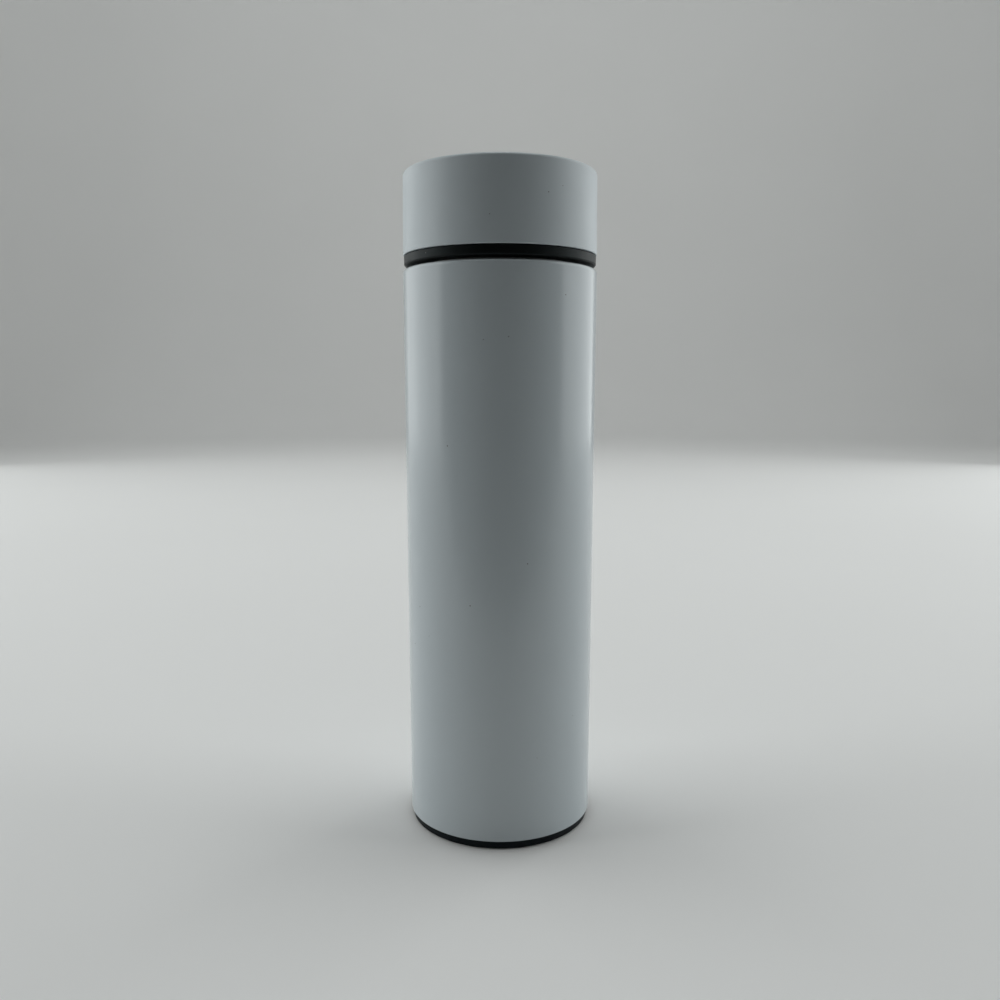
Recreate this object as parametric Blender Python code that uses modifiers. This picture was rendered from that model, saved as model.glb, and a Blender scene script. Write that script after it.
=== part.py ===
"""A double-walled vacuum flask with a screw lid that reads the drink's temperature.

Frame: metres, +Z up along the flask's own axis, origin on that axis at the height of the surface
it stands on. The lid turns and rises about the same axis, so its pieces hang from one empty there.
"""

from math import cos, pi, radians, sin, tau

import bmesh
import bpy

MM = 0.001
GAP = 0.3 * MM  # air left between pieces that touch on the real flask
SEGMENTS = 40  # flats around a large turned piece
SMALL_SEGMENTS = 20  # flats around a small one

# The outside, as seen from the table up
BODY_RADIUS = 32.5 * MM
BASE_BAND_HEIGHT = 2.8 * MM
BODY_TOP = 192.7 * MM
RING_BOTTOM = 193.8 * MM
RING_TOP = 196.8 * MM
CAP_BOTTOM = RING_TOP + GAP
CAP_TOP = 223.3 * MM
BASE_RADIUS = 31.8 * MM
RING_RADIUS = 32.1 * MM
CAP_FOOT_RADIUS = 32.4 * MM
CAP_CROWN_RADIUS = 32.1 * MM
CAP_EDGE_ROUND = 1.1 * MM
LENS_PROUD = 0.3 * MM

# Sheet steel of the vessel
SHEET = 0.5 * MM
SHOULDER_ROUND = 1.4 * MM
LINER_RADIUS = 28.7 * MM  # inside
LINER_FLOOR = 12.0 * MM
LINER_CORNER = 6.0 * MM
NECK_RADIUS = 23.4 * MM  # inside
NECK_BOTTOM = 177.0 * MM
FLARE_BOTTOM = 170.0 * MM
LIP_RADIUS = 26.0 * MM
LIP_ROUND = 1.2 * MM
DISH_TOP = 9.0 * MM
DISH_RIM_BOTTOM = 5.6 * MM
DISH_DIMPLE = 1.2 * MM
FOIL_BOTTOM = 20.0 * MM
FOIL_TOP = 165.0 * MM

# The thread: two starts, right-handed, so one turn lifts the lid by THREAD_LEAD
THREAD_LEAD = 8.0 * MM
THREAD_STARTS = 2
THREAD_TURNS = 0.9
THREAD_BOTTOM = 181.6 * MM
THREAD_DEPTH = 1.7 * MM
THREAD_SINK = 0.3 * MM  # how deep a ridge is rooted in the wall that carries it
THREAD_ROOT_HALF = 0.95 * MM
THREAD_CREST_HALF = 0.45 * MM

# The plug
PLUG_RADIUS = 21.2 * MM
PLUG_WALL = 1.8 * MM
PLUG_BOTTOM = 181.0 * MM
PLUG_FLOOR = 1.6 * MM
COLLAR_TOP = 204.0 * MM
COLLAR_WALL = 1.4 * MM
GASKET_THICKNESS = 1.9 * MM
GASKET_WIDTH = 4.1 * MM

# The cap and what it holds
CAP_WALL = 1.4 * MM
CAP_ROOF = 1.1 * MM
LENS_RADIUS = 29.5 * MM
LENS_THICKNESS = 2.0 * MM
DISPLAY_SIZE = (25.0 * MM, 15.0 * MM, 5.5 * MM)
BOARD_RADIUS = 26.5 * MM
BOARD_BOTTOM = 214.0 * MM
BOARD_THICKNESS = 1.2 * MM
SCREW_CIRCLE = 22.0 * MM
SCREW_RADIUS = 1.0 * MM
SCREW_LENGTH = 4.8 * MM
SCREW_HEAD_RADIUS = 2.0 * MM
SCREW_HEAD_HEIGHT = 1.5 * MM
SCREW_COUNT = 3
BOSS_RADIUS = 2.8 * MM
CELL_RADIUS = 12.25 * MM
CELL_HEIGHT = 5.0 * MM
CELL_Y = -9.0 * MM
TOUCH_SPRING_Y = -14.0 * MM

# The temperature probe
PROBE_RADIUS = 2.5 * MM
PROBE_WALL = 0.6 * MM
PROBE_TIP = 174.5 * MM
PROBE_TOP = 187.5 * MM
PROBE_FLANGE_RADIUS = 4.6 * MM
PROBE_FLANGE = 0.9 * MM
PROBE_SEAL = 0.5 * MM
NUT_FLATS = 9.0 * MM
NUT_HEIGHT = 2.3 * MM
LEAD_RADIUS = 0.35 * MM

WHITE_GLOSS = ("white_gloss_coat", (0.78, 0.80, 0.80), 0.18, 0.0)
WHITE_SATIN = ("white_satin_plastic", (0.78, 0.80, 0.80), 0.42, 0.0)
BLACK_PLASTIC = ("black_plastic", (0.015, 0.016, 0.017), 0.45, 0.0)
SMOKED_LENS = ("smoked_lens", (0.02, 0.02, 0.022), 0.06, 0.0)
STEEL = ("stainless_steel", (0.62, 0.61, 0.59), 0.28, 1.0)
COPPER = ("copper_foil", (0.72, 0.38, 0.24), 0.35, 1.0)
SILICONE = ("silicone", (0.72, 0.73, 0.72), 0.55, 0.0)
FOAM = ("white_foam", (0.86, 0.86, 0.84), 0.9, 0.0)
BOARD_GREEN = ("circuit_board", (0.02, 0.18, 0.08), 0.5, 0.0)
DISPLAY_GREY = ("display_body", (0.05, 0.05, 0.055), 0.4, 0.0)
SOLDER_GLASS = ("solder_glass", (0.12, 0.13, 0.14), 0.3, 0.0)
GETTER_GREY = ("getter_pellet", (0.3, 0.3, 0.31), 0.6, 1.0)
THERMISTOR_BLACK = ("thermistor_epoxy", (0.03, 0.03, 0.03), 0.35, 0.0)
LEAD_RED = ("lead_red", (0.6, 0.03, 0.03), 0.4, 0.0)
LEAD_BLACK = ("lead_black", (0.02, 0.02, 0.02), 0.4, 0.0)


def clear_scene():
    for obj in list(bpy.data.objects):
        bpy.data.objects.remove(obj)


def new_collection(name):
    collection = bpy.data.collections.new(name)
    bpy.context.scene.collection.children.link(collection)
    return collection


def material(name, colour, roughness, metallic):
    found = bpy.data.materials.get(name)
    if found:
        return found
    made = bpy.data.materials.new(name)
    made.use_nodes = True
    shader = made.node_tree.nodes["Principled BSDF"]
    shader.inputs["Base Color"].default_value = (*colour, 1.0)
    shader.inputs["Roughness"].default_value = roughness
    shader.inputs["Metallic"].default_value = metallic
    made.diffuse_color = (*colour, 1.0)
    return made


def add(name, data, look, parent=None, at=(0, 0, 0)):
    """One sub-part, placed at a world position whether or not it hangs from a parent."""
    obj = bpy.data.objects.new(name, data)
    data.materials.append(material(*look))
    parts.objects.link(obj)
    origin = parent.location if parent else (0, 0, 0)
    obj.parent = parent
    obj.location = [at[i] - origin[i] for i in range(3)]
    return obj


def helper(name, data, at=(0, 0, 0)):
    """A tool body for a Boolean: it shapes a sub-part and isn't one."""
    obj = bpy.data.objects.new(name, data)
    obj.location = at
    obj.hide_render = True
    obj.display_type = "WIRE"
    tools.objects.link(obj)
    return obj


def combine(obj, tool, operation):
    modifier = obj.modifiers.new(tool.name, "BOOLEAN")
    modifier.object = tool
    modifier.operation = operation
    modifier.solver = "EXACT"


def shade(obj):
    """Turns the modifiers into mesh, smooth on the rounds and crisp on the corners."""
    bpy.context.view_layer.update()
    graph = bpy.context.evaluated_depsgraph_get()
    mesh = bpy.data.meshes.new_from_object(obj.evaluated_get(graph))
    obj.modifiers.clear()
    obj.data = mesh
    mesh.name = obj.name
    mesh.shade_smooth()
    mesh.set_sharp_from_angle(angle=radians(35))
    return obj


def arc(centre, radius, start, end, steps):
    """Points from one angle to the other, in degrees from +X towards +Z."""
    angles = [radians(start + (end - start) * i / steps) for i in range(steps + 1)]
    return [(centre[0] + radius * cos(a), centre[1] + radius * sin(a)) for a in angles]


def outline_mesh(name, outline):
    """The half section of a turned piece: closed, unless both its ends lie on the axis."""
    mesh = bpy.data.meshes.new(name)
    edges = [(i, i + 1) for i in range(len(outline) - 1)]
    if outline[0][0] > 0 or outline[-1][0] > 0:
        edges.append((len(outline) - 1, 0))
    mesh.from_pydata([(r, 0, z) for r, z in outline], edges, [])
    return mesh


def turn(obj, segments):
    screw = obj.modifiers.new("turned", "SCREW")
    screw.axis = "Z"
    screw.angle = tau
    screw.steps = segments
    screw.render_steps = segments
    screw.use_merge_vertices = True
    screw.merge_threshold = 0.00005


def turned(name, outline, look, parent=None, at=(0, 0, 0), segments=SEGMENTS):
    obj = add(name, outline_mesh(name, outline), look, parent, at)
    turn(obj, segments)
    return obj


def cylinder_mesh(name, radius, height, segments=SMALL_SEGMENTS):
    """A cylinder that stands on its own origin."""
    shape = bmesh.new()
    bmesh.ops.create_cone(
        shape,
        cap_ends=True,
        segments=segments,
        radius1=radius,
        radius2=radius,
        depth=height,
    )
    bmesh.ops.translate(shape, vec=(0, 0, height / 2), verts=shape.verts)
    mesh = bpy.data.meshes.new(name)
    shape.to_mesh(mesh)
    shape.free()
    return mesh


def box_mesh(name, size):
    """A box that stands on its own origin."""
    shape = bmesh.new()
    bmesh.ops.create_cube(shape, size=1)
    bmesh.ops.translate(shape, vec=(0, 0, 0.5), verts=shape.verts)
    bmesh.ops.scale(shape, vec=size, verts=shape.verts)
    mesh = bpy.data.meshes.new(name)
    shape.to_mesh(mesh)
    shape.free()
    return mesh


def tube_curve(name, points, radius):
    """A round wire with closed ends."""
    curve = bpy.data.curves.new(name, "CURVE")
    curve.dimensions = "3D"
    curve.bevel_depth = radius
    curve.bevel_resolution = 2
    curve.use_fill_caps = True
    spline = curve.splines.new("POLY")
    spline.points.add(len(points) - 1)
    for point, place in zip(spline.points, points):
        point.co = (*place, 1)
    return curve


def ridge_mesh(name, wall_radius, outward, start_angle, height):
    """One start of the thread: a trapezoid carried up a helix, sinking into its wall at both ends."""
    side = 1 if outward else -1
    root = wall_radius - side * THREAD_SINK
    reach = THREAD_SINK + THREAD_DEPTH
    stations = round(SEGMENTS * THREAD_TURNS)
    fade = SEGMENTS // 12
    shape = bmesh.new()
    rings = []
    for i in range(stations + 1):
        swell = max(0.1, min(1.0, i / fade, (stations - i) / fade))
        angle = start_angle + tau * i / SEGMENTS
        middle = height + THREAD_LEAD * i / SEGMENTS
        crest = root + side * reach * swell
        section = (
            (root, middle - THREAD_ROOT_HALF),
            (crest, middle - THREAD_CREST_HALF),
            (crest, middle + THREAD_CREST_HALF),
            (root, middle + THREAD_ROOT_HALF),
        )
        rings.append([shape.verts.new((r * cos(angle), r * sin(angle), z)) for r, z in section])
    for low, high in zip(rings, rings[1:]):
        for i in range(4):
            j = (i + 1) % 4
            shape.faces.new((low[i], low[j], high[j], high[i]))
    shape.faces.new(rings[0])
    shape.faces.new(rings[-1])
    bmesh.ops.triangulate(shape, faces=shape.faces)
    bmesh.ops.recalc_face_normals(shape, faces=shape.faces)
    mesh = bpy.data.meshes.new(name)
    shape.to_mesh(mesh)
    shape.free()
    return mesh


def add_thread(obj, wall_radius, outward, height):
    """Both starts, half a turn apart, joined to the piece at this world height."""
    for start in range(THREAD_STARTS):
        name = f"{obj.name}_ridge_{start + 1}"
        angle = tau * start / THREAD_STARTS
        ridge = helper(name, ridge_mesh(name, wall_radius, outward, angle, height))
        combine(obj, ridge, "UNION")


# The vessel


def make_outer_shell():
    inside = BODY_RADIUS - SHEET
    mouth = LIP_RADIUS + GAP
    corner = (BODY_RADIUS - SHOULDER_ROUND, BODY_TOP - SHOULDER_ROUND)
    outline = [(mouth, BODY_TOP)]
    outline += arc(corner, SHOULDER_ROUND, 90, 0, 4)
    outline += [
        (BODY_RADIUS, BASE_BAND_HEIGHT + GAP),
        (BODY_RADIUS - GAP, BASE_BAND_HEIGHT),
        (inside, BASE_BAND_HEIGHT),
    ]
    outline += arc(corner, SHOULDER_ROUND - SHEET, 0, 90, 2)
    outline.append((mouth, BODY_TOP - SHEET))
    shade(turned("outer_shell", outline, WHITE_GLOSS))


def make_inner_liner():
    """A bottle of one wall: in from the floor, up to the mouth, and out over the lip."""
    shell = LINER_RADIUS + SHEET
    neck = NECK_RADIUS + SHEET
    corner = (LINER_RADIUS - LINER_CORNER, LINER_FLOOR + LINER_CORNER)
    half_flare = (NECK_BOTTOM - FLARE_BOTTOM) / 2
    flare_middle = ((LINER_RADIUS + NECK_RADIUS) / 2, FLARE_BOTTOM + half_flare)
    lip_centre = (NECK_RADIUS + LIP_ROUND, BODY_TOP - LIP_ROUND)
    outline = [(0, LINER_FLOOR)]
    outline += arc(corner, LINER_CORNER, -90, 0, 4)
    outline += [(LINER_RADIUS, FLARE_BOTTOM), flare_middle, (NECK_RADIUS, NECK_BOTTOM)]
    outline += arc(lip_centre, LIP_ROUND, 180, 90, 3)
    outline += [(LIP_RADIUS, BODY_TOP), (LIP_RADIUS, BODY_TOP - SHEET)]
    outline += arc(lip_centre, LIP_ROUND - SHEET, 90, 180, 2)
    outline += [
        (neck, NECK_BOTTOM),
        (flare_middle[0] + SHEET, flare_middle[1]),
        (shell, FLARE_BOTTOM),
    ]
    outline += arc(corner, LINER_CORNER + SHEET, 0, -90, 4)
    outline.append((0, LINER_FLOOR - SHEET))
    liner = turned("inner_liner", outline, STEEL)
    add_thread(liner, NECK_RADIUS, outward=False, height=THREAD_BOTTOM)
    shade(liner)


def make_outer_base():
    """The pressed steel bottom of the outer wall, with a dimple over its evacuation hole."""
    rim = BODY_RADIUS - SHEET - GAP
    hole = 1.2 * MM
    dimple = 7.0 * MM
    corner = (rim - 1.2 * MM, DISH_TOP - 1.2 * MM)
    outline = [
        (hole, DISH_TOP + DISH_DIMPLE),
        (dimple, DISH_TOP + DISH_DIMPLE),
        (dimple + DISH_DIMPLE, DISH_TOP),
    ]
    outline += arc(corner, 1.2 * MM, 90, 0, 3)
    outline += [(rim, DISH_RIM_BOTTOM), (rim - SHEET, DISH_RIM_BOTTOM)]
    outline += arc(corner, 0.6 * MM, 0, 90, 2)
    outline += [
        (dimple + DISH_DIMPLE - SHEET / 2, DISH_TOP - SHEET),
        (dimple - SHEET / 2, DISH_TOP + DISH_DIMPLE - SHEET),
        (hole, DISH_TOP + DISH_DIMPLE - SHEET),
    ]
    shade(turned("outer_base", outline, STEEL))


def make_vacuum_seal():
    """The bead of solder glass that closes the evacuation hole."""
    top = DISH_TOP + DISH_DIMPLE - SHEET - GAP
    outline = [(0, top), (2.6 * MM, top)]
    outline += arc((2.6 * MM, top - 0.45 * MM), 0.45 * MM, 90, -90, 4)
    outline.append((0, top - 0.9 * MM))
    shade(turned("vacuum_seal", outline, SOLDER_GLASS, segments=SMALL_SEGMENTS))


def make_getter():
    """The pellet that soaks up the last gas in the vacuum space."""
    height = 1.6 * MM
    mesh = cylinder_mesh("getter", 4.5 * MM, height)
    obj = add("getter", mesh, GETTER_GREY, at=(16 * MM, 0, DISH_TOP + GAP))
    bevel = obj.modifiers.new("edge", "BEVEL")
    bevel.width = 0.3 * MM
    bevel.segments = 1
    shade(obj)


def make_radiation_foil():
    inner = LINER_RADIUS + SHEET + GAP
    outer = inner + 0.3 * MM
    outline = [
        (inner, FOIL_TOP),
        (outer, FOIL_TOP),
        (outer, FOIL_BOTTOM),
        (inner, FOIL_BOTTOM),
    ]
    shade(turned("radiation_foil", outline, COPPER))


def make_base_cover():
    """The black foot: a band just inside the body's line, and a spigot up the steel skirt."""
    ledge = BASE_BAND_HEIGHT - GAP
    spigot = BODY_RADIUS - 2 * SHEET - 2.5 * GAP
    spigot_top = 7.3 * MM
    spigot_wall = 1.8 * MM
    edge = 0.5 * MM
    foot_inner = 26.5 * MM
    recess = 0.8 * MM
    floor_top = 2.4 * MM
    corner = (BASE_RADIUS - edge, edge)
    outline = [
        (0, floor_top),
        (spigot - spigot_wall, floor_top),
        (spigot - spigot_wall, spigot_top),
        (spigot, spigot_top),
        (spigot, ledge),
        (BASE_RADIUS, ledge),
    ]
    outline += arc(corner, edge, 0, -90, 3)
    outline += [(foot_inner, 0), (foot_inner - recess, recess), (0, recess)]
    shade(turned("base_cover", outline, BLACK_PLASTIC))


# The lid's outside


def make_lid_plug(lid):
    """The black plug: its flange is the ring under the cap, and its collar holds the cap on."""
    top = RING_TOP - PLUG_BOTTOM
    under = RING_BOTTOM - PLUG_BOTTOM
    collar = CAP_FOOT_RADIUS - CAP_WALL - 1.3 * GAP
    seat = under + GASKET_THICKNESS - (RING_BOTTOM - BODY_TOP) + 2 * GAP
    seat_radius = PLUG_RADIUS + GASKET_WIDTH + 2 * GAP
    bore = PROBE_RADIUS + 1.3 * GAP
    outline = [
        (collar - COLLAR_WALL, COLLAR_TOP - PLUG_BOTTOM),
        (collar, COLLAR_TOP - PLUG_BOTTOM),
        (collar, top),
        (RING_RADIUS - 0.2 * MM, top),
        (RING_RADIUS, top - 0.2 * MM),
        (RING_RADIUS, under + 0.4 * MM),
        (RING_RADIUS - 0.4 * MM, under),
        (seat_radius, under),
        (seat_radius, seat),
        (PLUG_RADIUS, seat),
        (PLUG_RADIUS, 0.8 * MM),
        (PLUG_RADIUS - 0.8 * MM, 0),
        (bore, 0),
        (bore, PLUG_FLOOR),
        (PLUG_RADIUS - PLUG_WALL, PLUG_FLOOR),
        (PLUG_RADIUS - PLUG_WALL, top),
        (collar - COLLAR_WALL, top),
    ]
    plug = turned("lid_plug", outline, BLACK_PLASTIC, lid, (0, 0, PLUG_BOTTOM))
    # Half a thread spacing lower than the liner's ridges, so the two pass between each other
    spacing = THREAD_LEAD / THREAD_STARTS
    add_thread(plug, PLUG_RADIUS, outward=True, height=THREAD_BOTTOM + spacing / 2)
    shade(plug)


def make_lid_gasket(lid):
    inner = PLUG_RADIUS + GAP
    outer = inner + GASKET_WIDTH
    height = GASKET_THICKNESS
    round_over = 0.5 * MM
    outline = [(inner, height), (outer - round_over, height)]
    outline += arc((outer - round_over, height - round_over), round_over, 90, 0, 2)[1:]
    outline += arc((outer - round_over, round_over), round_over, 0, -90, 2)
    outline.append((inner, 0))
    shade(turned("lid_gasket", outline, SILICONE, lid, (0, 0, BODY_TOP + GAP)))


def cap_outline():
    height = CAP_TOP - CAP_BOTTOM
    lens_seat = height + LENS_PROUD - LENS_THICKNESS - GAP
    recess = LENS_RADIUS + GAP
    shoulder = (CAP_CROWN_RADIUS - CAP_EDGE_ROUND, height - CAP_EDGE_ROUND)
    inside_top = lens_seat - CAP_ROOF
    outline = [(0, lens_seat), (recess, lens_seat), (recess, height)]
    outline += arc(shoulder, CAP_EDGE_ROUND, 90, 0, 5)
    outline += [
        (CAP_FOOT_RADIUS, 0.3 * MM),
        (CAP_FOOT_RADIUS - 0.3 * MM, 0),
        (CAP_FOOT_RADIUS - CAP_WALL, 0),
        (CAP_CROWN_RADIUS - CAP_WALL, inside_top - 1.0 * MM),
        (CAP_CROWN_RADIUS - CAP_WALL - 1.0 * MM, inside_top),
        (0, inside_top),
    ]
    return outline, lens_seat


def screw_places():
    """The board screws stand on a circle, the first one at the back."""
    angles = [pi / 2 + tau * i / SCREW_COUNT for i in range(SCREW_COUNT)]
    return [(SCREW_CIRCLE * cos(a), SCREW_CIRCLE * sin(a)) for a in angles]


def make_cap_shell(lid):
    """The white cap, with a window for the display and a boss for each board screw."""
    outline, lens_seat = cap_outline()
    cap = turned("cap_shell", outline, WHITE_SATIN, lid, (0, 0, CAP_BOTTOM))
    boss_foot = BOARD_BOTTOM + BOARD_THICKNESS + GAP
    boss_height = CAP_BOTTOM + lens_seat - CAP_ROOF / 2 - boss_foot
    hole_height = SCREW_LENGTH - BOARD_THICKNESS
    window = [DISPLAY_SIZE[0] + 1.0 * MM, DISPLAY_SIZE[1] + 1.0 * MM, 4.0 * MM]
    for i, (x, y) in enumerate(screw_places(), 1):
        boss = cylinder_mesh(f"cap_boss_{i}", BOSS_RADIUS, boss_height)
        combine(cap, helper(boss.name, boss, (x, y, boss_foot)), "UNION")
        hole = cylinder_mesh(f"cap_hole_{i}", SCREW_RADIUS + GAP, hole_height + 1 * MM)
        combine(cap, helper(hole.name, hole, (x, y, boss_foot - 1 * MM)), "DIFFERENCE")
    cutter = box_mesh("cap_window", window)
    window_foot = CAP_BOTTOM + lens_seat - window[2] / 2
    combine(cap, helper(cutter.name, cutter, (0, 0, window_foot)), "DIFFERENCE")
    shade(cap)


def make_display_lens(lid):
    edge = 0.4 * MM
    outline = [
        (0, LENS_THICKNESS),
        (LENS_RADIUS - edge, LENS_THICKNESS),
        (LENS_RADIUS, LENS_THICKNESS - edge),
        (LENS_RADIUS, 0),
        (0, 0),
    ]
    foot = CAP_TOP + LENS_PROUD - LENS_THICKNESS
    shade(turned("display_lens", outline, SMOKED_LENS, lid, (0, 0, foot)))


# The electronics inside the cap


def make_circuit_board(lid):
    board = add(
        "circuit_board",
        cylinder_mesh("circuit_board", BOARD_RADIUS, BOARD_THICKNESS, SEGMENTS),
        BOARD_GREEN,
        lid,
        (0, 0, BOARD_BOTTOM),
    )
    for i, (x, y) in enumerate(screw_places(), 1):
        hole = cylinder_mesh(f"board_hole_{i}", SCREW_RADIUS + GAP, 4 * MM)
        place = (x, y, BOARD_BOTTOM - 1 * MM)
        combine(board, helper(hole.name, hole, place), "DIFFERENCE")
    shade(board)


def make_board_screws(lid):
    """Pan-headed screws, driven up through the board into the cap's bosses."""
    outline = [(0, SCREW_LENGTH), (SCREW_RADIUS, SCREW_LENGTH), (SCREW_RADIUS, 0)]
    outline += [(SCREW_HEAD_RADIUS, 0)]
    crown = SCREW_HEAD_RADIUS - 0.5 * MM
    outline += [(SCREW_HEAD_RADIUS, 0.5 * MM - SCREW_HEAD_HEIGHT), (crown, -SCREW_HEAD_HEIGHT)]
    outline += [(0, -SCREW_HEAD_HEIGHT)]
    for i, (x, y) in enumerate(screw_places(), 1):
        place = (x, y, BOARD_BOTTOM - GAP)
        shade(turned(f"board_screw_{i}", outline, STEEL, lid, place, segments=16))


def make_display_module(lid):
    foot = BOARD_BOTTOM + BOARD_THICKNESS + GAP
    mesh = box_mesh("display_module", DISPLAY_SIZE)
    obj = add("display_module", mesh, DISPLAY_GREY, lid, (0, 0, foot))
    bevel = obj.modifiers.new("edge", "BEVEL")
    bevel.width = 0.4 * MM
    bevel.segments = 2
    shade(obj)


def make_touch_spring(lid):
    """The coil that carries the touch of a finger from the cap's roof to the board."""
    coil_radius = 2.4 * MM
    wire = 0.3 * MM
    height = 4.0 * MM
    turns = 4
    per_turn = 10
    points = []
    for i in range(turns * per_turn + 1):
        angle = tau * i / per_turn
        lift = height * i / (turns * per_turn)
        points.append((coil_radius * cos(angle), coil_radius * sin(angle), lift))
    foot = BOARD_BOTTOM + BOARD_THICKNESS + GAP + wire
    curve = tube_curve("touch_spring", points, wire)
    curve.bevel_resolution = 1
    add("touch_spring", curve, STEEL, lid, (0, TOUCH_SPRING_Y, foot))


def make_battery(lid):
    """A coin cell, hung under the board with its wide face down."""
    lip = 1.6 * MM
    edge = 0.4 * MM
    outline = [
        (0, CELL_HEIGHT),
        (CELL_RADIUS - lip, CELL_HEIGHT),
        (CELL_RADIUS - lip, CELL_HEIGHT - edge),
        (CELL_RADIUS - edge, CELL_HEIGHT - edge),
        (CELL_RADIUS, CELL_HEIGHT - 2 * edge),
        (CELL_RADIUS, edge),
        (CELL_RADIUS - edge, 0),
        (0, 0),
    ]
    foot = BOARD_BOTTOM - 2 * GAP - CELL_HEIGHT
    shade(turned("battery", outline, STEEL, lid, (0, CELL_Y, foot), segments=32))


def make_battery_clip(lid):
    """A sprung steel strap under the coin cell, with a leg up to the board on each side."""
    thickness = 0.4 * MM
    inside = CELL_RADIUS + 1.5 * GAP
    outside = inside + thickness
    top = -GAP
    sole = top - GAP - CELL_HEIGHT - 1.5 * GAP
    outline = [
        (inside, top),
        (outside, top),
        (outside, sole - thickness),
        (-outside, sole - thickness),
        (-outside, top),
        (-inside, top),
        (-inside, sole),
        (inside, sole),
    ]
    curve = bpy.data.curves.new("battery_clip", "CURVE")
    curve.dimensions = "2D"
    curve.fill_mode = "BOTH"
    curve.extrude = 3.0 * MM
    spline = curve.splines.new("POLY")
    spline.points.add(len(outline) - 1)
    spline.use_cyclic_u = True
    for point, (x, z) in zip(spline.points, outline):
        point.co = (x, z, 0, 1)
    clip = add("battery_clip", curve, STEEL, lid, (0, CELL_Y, BOARD_BOTTOM))
    clip.rotation_euler = (pi / 2, 0, 0)


# The plug's filling and the probe


def make_plug_insulation(lid):
    outer = PLUG_RADIUS - PLUG_WALL - GAP
    bore = NUT_FLATS / 2 / cos(pi / 6) + 1.5 * GAP
    foot = PLUG_BOTTOM + PLUG_FLOOR + GAP
    height = RING_TOP - 0.8 * MM - foot
    outline = [(bore, height), (outer, height), (outer, 0), (bore, 0)]
    shade(turned("plug_insulation", outline, FOAM, lid, (0, 0, foot)))


def probe_flange_top():
    return PLUG_BOTTOM - PROBE_SEAL - 2 * GAP


def make_sensor_probe(lid):
    """A steel thimble through the plug's floor: round tip, clamping flange, open top."""
    length = PROBE_TOP - PROBE_TIP
    bore = PROBE_RADIUS - PROBE_WALL
    flange = probe_flange_top() - PROBE_TIP
    outline = [(0, PROBE_WALL + 0.2 * MM), (bore, PROBE_WALL + 0.6 * MM), (bore, length)]
    outline += [
        (PROBE_RADIUS, length),
        (PROBE_RADIUS, flange),
        (PROBE_FLANGE_RADIUS, flange),
        (PROBE_FLANGE_RADIUS, flange - PROBE_FLANGE + 0.2 * MM),
        (PROBE_FLANGE_RADIUS - 0.2 * MM, flange - PROBE_FLANGE),
        (PROBE_RADIUS, flange - PROBE_FLANGE),
    ]
    outline += arc((0, PROBE_RADIUS), PROBE_RADIUS, 0, -90, 4)[:-1]
    outline.append((0, 0))
    place = (0, 0, PROBE_TIP)
    shade(turned("sensor_probe", outline, STEEL, lid, place, segments=SMALL_SEGMENTS))


def make_probe_seal(lid):
    inner = PROBE_RADIUS + GAP
    outer = PROBE_FLANGE_RADIUS + 0.4 * MM
    outline = [(inner, PROBE_SEAL), (outer, PROBE_SEAL), (outer, 0), (inner, 0)]
    place = (0, 0, probe_flange_top() + GAP)
    shade(turned("probe_seal", outline, SILICONE, lid, place, segments=SMALL_SEGMENTS))


def make_probe_nut(lid):
    foot = PLUG_BOTTOM + PLUG_FLOOR + GAP
    corner = NUT_FLATS / 2 / cos(pi / 6)
    mesh = cylinder_mesh("probe_nut", corner, NUT_HEIGHT, 6)
    nut = add("probe_nut", mesh, STEEL, lid, (0, 0, foot))
    hole = cylinder_mesh("nut_hole", PROBE_RADIUS + GAP, NUT_HEIGHT + 2 * MM)
    combine(nut, helper(hole.name, hole, (0, 0, foot - 1 * MM)), "DIFFERENCE")
    shade(nut)


def make_thermistor(lid):
    """The bead at the bottom of the probe that feels the drink's heat."""
    radius = 1.3 * MM
    height = 3.2 * MM
    outline = arc((0, height - radius), radius, 90, 0, 3)
    outline += arc((0, radius), radius, 0, -90, 3)
    outline[0] = (0, height)
    outline[-1] = (0, 0)
    place = (0, 0, PROBE_TIP + PROBE_WALL + 1.0 * MM)
    shade(turned("thermistor", outline, THERMISTOR_BLACK, lid, place, segments=12))


def make_sensor_leads(lid):
    """Two insulated wires, up through the plug and round behind the coin cell to the board."""
    start = PROBE_TIP + PROBE_WALL + 1.0 * MM + 3.2 * MM + GAP
    end = BOARD_BOTTOM - GAP
    bend_low = 198.0 * MM
    bend_high = 207.0 * MM
    steps = 8
    for name, x, look in (
        ("sensor_lead_1", -0.75 * MM, LEAD_RED),
        ("sensor_lead_2", 0.75 * MM, LEAD_BLACK),
    ):
        points = [(x, 0, 0)]
        for i in range(steps + 1):
            part_way = i / steps
            sway = (1 - cos(pi * part_way)) / 2
            rise = bend_low + (bend_high - bend_low) * part_way
            points.append((x * (1 + sway), 9.0 * MM * sway, rise - start))
        points.append((2 * x, 9.0 * MM, end - start))
        curve = tube_curve(name, points, LEAD_RADIUS)
        add(name, curve, look, lid, (0, 0, start))


clear_scene()
parts = new_collection("vacuum_flask")
tools = new_collection("tools")

make_outer_shell()
make_inner_liner()
make_outer_base()
make_vacuum_seal()
make_getter()
make_radiation_foil()
make_base_cover()

lid_axis = bpy.data.objects.new("lid_axis", None)
lid_axis.location = (0, 0, BODY_TOP)
parts.objects.link(lid_axis)
bpy.context.view_layer.update()

make_lid_plug(lid_axis)
make_lid_gasket(lid_axis)
make_cap_shell(lid_axis)
make_display_lens(lid_axis)
make_circuit_board(lid_axis)
make_board_screws(lid_axis)
make_display_module(lid_axis)
make_touch_spring(lid_axis)
make_battery(lid_axis)
make_battery_clip(lid_axis)
make_plug_insulation(lid_axis)
make_sensor_probe(lid_axis)
make_probe_seal(lid_axis)
make_probe_nut(lid_axis)
make_thermistor(lid_axis)
make_sensor_leads(lid_axis)
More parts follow.
